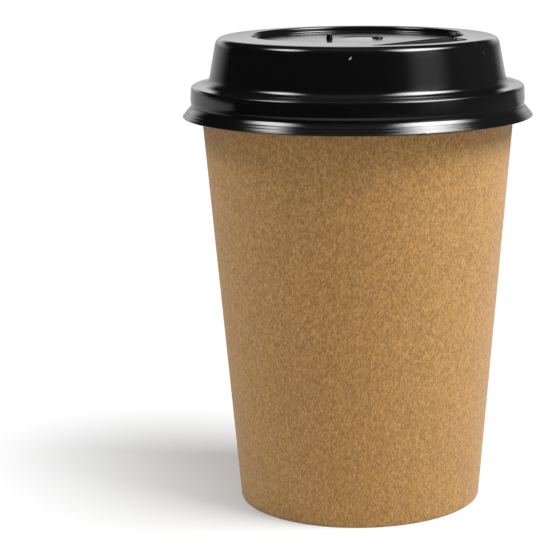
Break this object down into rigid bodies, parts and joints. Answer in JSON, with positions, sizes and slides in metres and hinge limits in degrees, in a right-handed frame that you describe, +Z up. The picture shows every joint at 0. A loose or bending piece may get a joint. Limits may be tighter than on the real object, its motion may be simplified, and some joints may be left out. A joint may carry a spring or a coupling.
{
  "type": "paper coffee cup",
  "caption": "Tapered kraft paper cup with rolled rim and recessed base, closed by a black domed sip lid that lifts off.",
  "frame": {"origin": "centre of the foot, on the surface that the cup stands on", "axes": "+Z up along the cup's axis; the drinking well of the lid is to the front right, at -Y and +X; the side seam is at +Y"},
  "size_m": [0.0952, 0.0952, 0.1289],
  "materials": {
    "kraft_board": "matt kraft paper with fine fibres, coated inside",
    "base_board": "matt kraft paper, coated inside",
    "lid_plastic": "glossy black formed sheet"
  },
  "bodies": {
    "cup": {"cup_wall": "kraft_board", "cup_base": "base_board"},
    "lid": {"lid": "lid_plastic"}
  },
  "joints": [
    {"name": "lid_lift", "type": "slide", "parent": "cup", "child": "lid", "axis": [0, 0, 1], "range_m": [0, 0.03]}
  ]
}
